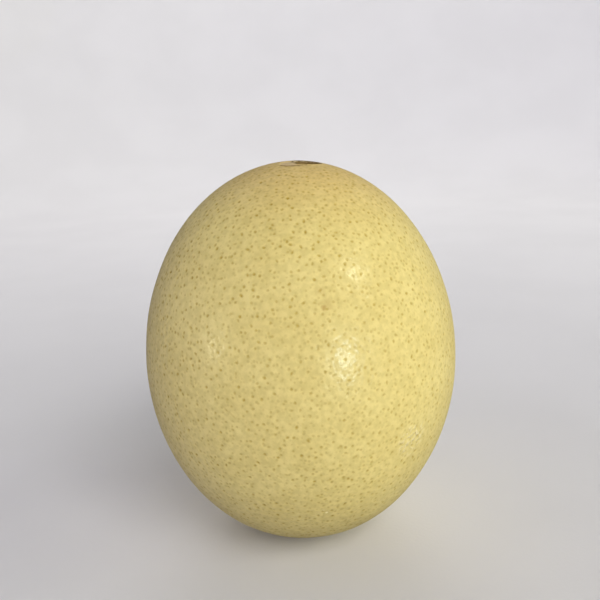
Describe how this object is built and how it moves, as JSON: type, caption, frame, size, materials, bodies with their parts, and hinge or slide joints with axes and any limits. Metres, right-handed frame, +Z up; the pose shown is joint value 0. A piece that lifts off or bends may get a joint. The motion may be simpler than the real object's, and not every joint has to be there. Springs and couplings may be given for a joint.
{
  "type": "ostrich egg",
  "caption": "Blown ostrich egg: an upright hollow shell with a small blow hole near the top and a small flat spot to rest on.",
  "frame": {"origin": "centre of the flat spot that the egg rests on", "axes": "+Z up along the egg's long axis, +X towards the blow hole beside the top, -Y towards the viewer"},
  "size_m": [0.125, 0.125, 0.1542],
  "materials": {
    "shell": "satin"
  },
  "bodies": {
    "root": {"eggshell": "shell"}
  },
  "joints": []
}
